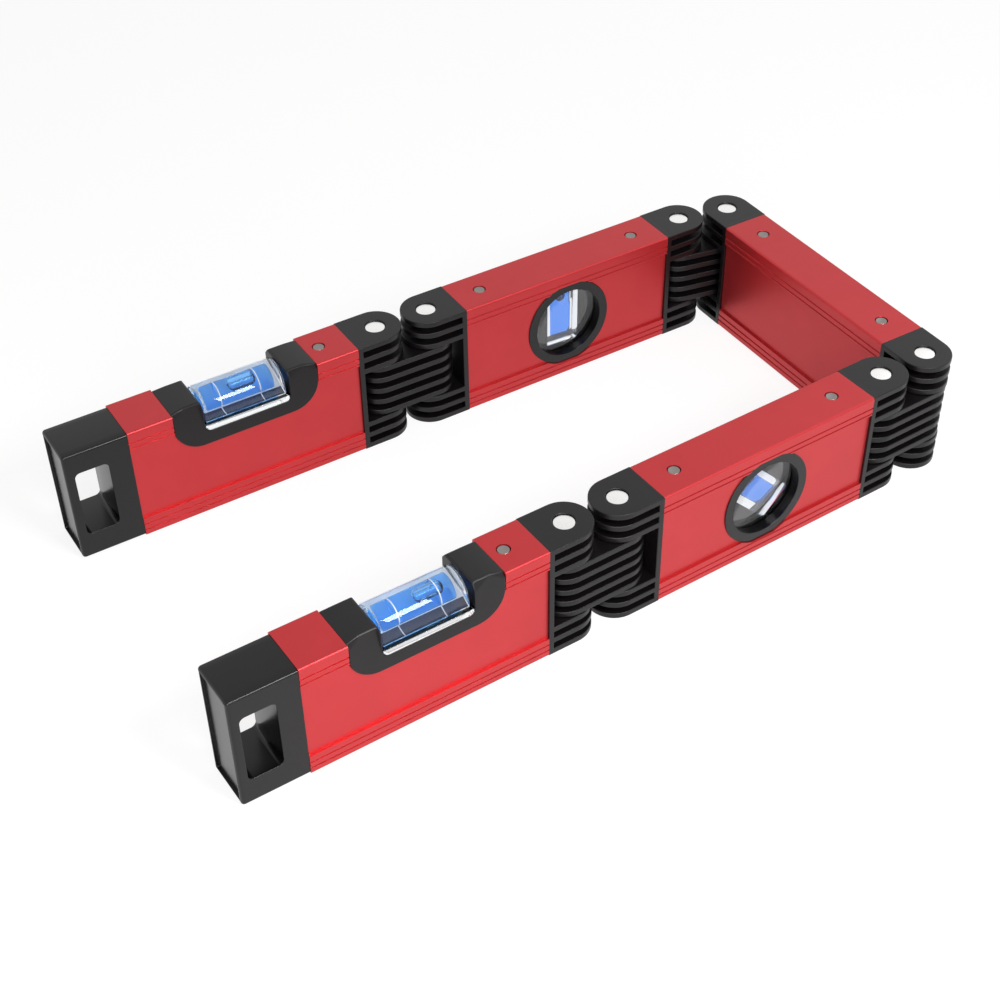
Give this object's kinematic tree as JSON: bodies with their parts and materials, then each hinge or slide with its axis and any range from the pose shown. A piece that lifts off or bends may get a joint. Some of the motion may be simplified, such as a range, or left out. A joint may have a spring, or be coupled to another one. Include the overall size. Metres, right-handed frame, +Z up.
{
  "type": "folding level",
  "caption": "Folding spirit level: box-section segments on double-pivot hinges, with top and round vials and windowed end caps, part folded into a U.",
  "frame": {"origin": "middle of the lower measuring edge of segment 3, the bottom of the U", "axes": "+Z up along the pivots, +Y along segment 3 towards segment 2, -X towards the two free ends"},
  "size_m": [0.3036, 0.1556, 0.0489],
  "materials": {
    "red_aluminium": "satin anodised",
    "black_plastic": "matte moulded",
    "bright_steel": "bright",
    "grey_steel": "dull",
    "clear_acrylic": "clear",
    "blue_liquid": "clear"
  },
  "bodies": {
    "segment_1": {"profile_1": "red_aluminium", "end_cap_1": "black_plastic", "cradle_1": "black_plastic", "vial_plate_1": "clear_acrylic", "vial_block_1": "clear_acrylic", "vial_liquid_1": "blue_liquid", "bracket_1": "black_plastic", "retaining_pin_1": "grey_steel", "hinge_pin_1": "bright_steel"},
    "link_12": {"link_12": "black_plastic"},
    "segment_2": {"profile_2": "red_aluminium", "bracket_2_left": "black_plastic", "bracket_2_right": "black_plastic", "retaining_pins_2": "grey_steel", "hinge_pins_2": "bright_steel", "bezel_2_front": "black_plastic", "bezel_2_back": "black_plastic", "lens_2": "clear_acrylic", "mask_2": "black_plastic", "vial_disc_2": "clear_acrylic", "disc_liquid_2": "blue_liquid"},
    "link_23": {"link_23": "black_plastic"},
    "segment_3": {"profile_3": "red_aluminium", "bracket_3_rear": "black_plastic", "bracket_3_front": "black_plastic", "retaining_pins_3": "grey_steel", "hinge_pins_3": "bright_steel"},
    "link_34": {"link_34": "black_plastic"},
    "segment_4": {"profile_4": "red_aluminium", "bracket_4_left": "black_plastic", "bracket_4_right": "black_plastic", "retaining_pins_4": "grey_steel", "hinge_pins_4": "bright_steel", "bezel_4_front": "black_plastic", "bezel_4_back": "black_plastic", "lens_4": "clear_acrylic", "mask_4": "black_plastic", "vial_disc_4": "clear_acrylic", "disc_liquid_4": "blue_liquid"},
    "link_45": {"link_45": "black_plastic"},
    "segment_5": {"profile_5": "red_aluminium", "end_cap_5": "black_plastic", "cradle_5": "black_plastic", "vial_plate_5": "clear_acrylic", "vial_block_5": "clear_acrylic", "vial_liquid_5": "blue_liquid", "bracket_5": "black_plastic", "retaining_pin_5": "grey_steel", "hinge_pin_5": "bright_steel"}
  },
  "joints": [
    {"name": "hinge_23_at_3", "type": "hinge", "parent": "segment_3", "child": "link_23", "pos_m": [0, 0.06, 0], "axis": [0, 0, -1], "range_deg": [-11.6, 168.4]},
    {"name": "hinge_23_at_2", "type": "hinge", "parent": "link_23", "child": "segment_2", "pos_m": [-0.02155, 0.06442, 0], "axis": [0, 0, -1], "range_deg": [-22, 101.8]},
    {"name": "hinge_12_at_2", "type": "hinge", "parent": "segment_2", "child": "link_12", "pos_m": [-0.14155, 0.06401, 0], "axis": [0, 0, 1], "range_deg": [-89.1, 45]},
    {"name": "hinge_12_at_1", "type": "hinge", "parent": "link_12", "child": "segment_1", "pos_m": [-0.16355, 0.06427, 0], "axis": [0, 0, 1], "range_deg": [-91.1, 60]},
    {"name": "hinge_34_at_3", "type": "hinge", "parent": "segment_3", "child": "link_34", "pos_m": [0, -0.06, 0], "axis": [0, 0, -1], "range_deg": [-177.4, 2.6]},
    {"name": "hinge_34_at_4", "type": "hinge", "parent": "link_34", "child": "segment_4", "pos_m": [-0.02198, -0.061, 0], "axis": [0, 0, -1], "range_deg": [-90.2, 22]},
    {"name": "hinge_45_at_4", "type": "hinge", "parent": "segment_4", "child": "link_45", "pos_m": [-0.14187, -0.06602, 0], "axis": [0, 0, 1], "range_deg": [-45, 89.8]},
    {"name": "hinge_45_at_5", "type": "hinge", "parent": "link_45", "child": "segment_5", "pos_m": [-0.16385, -0.06702, 0], "axis": [0, 0, 1], "range_deg": [-60, 90.6]}
  ]
}
